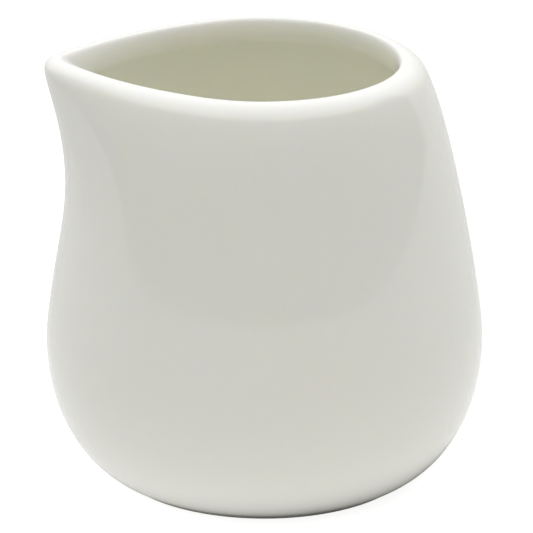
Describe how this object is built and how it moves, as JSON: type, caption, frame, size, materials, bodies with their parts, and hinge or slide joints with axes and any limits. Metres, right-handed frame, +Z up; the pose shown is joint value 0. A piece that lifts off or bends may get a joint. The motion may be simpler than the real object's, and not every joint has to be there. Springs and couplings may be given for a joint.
{
  "type": "cream jug",
  "caption": "Small handleless porcelain cream jug with a rounded belly, a leaning neck, a rolled rim and one pulled pouring lip, for milk or cream at the table.",
  "frame": {"origin": "centre of the foot ring, on the surface that the jug rests on", "axes": "+Z up along the axis of the round body, -X towards the pouring lip, XZ the mirror plane"},
  "size_m": [0.068, 0.068, 0.0664],
  "materials": {
    "bare_porcelain": "matte, fine-grained, unglazed",
    "clear_glaze": "high gloss"
  },
  "bodies": {
    "root": {"porcelain_body": "bare_porcelain", "glaze_coat": "clear_glaze", "base_glaze": "clear_glaze"}
  },
  "joints": []
}
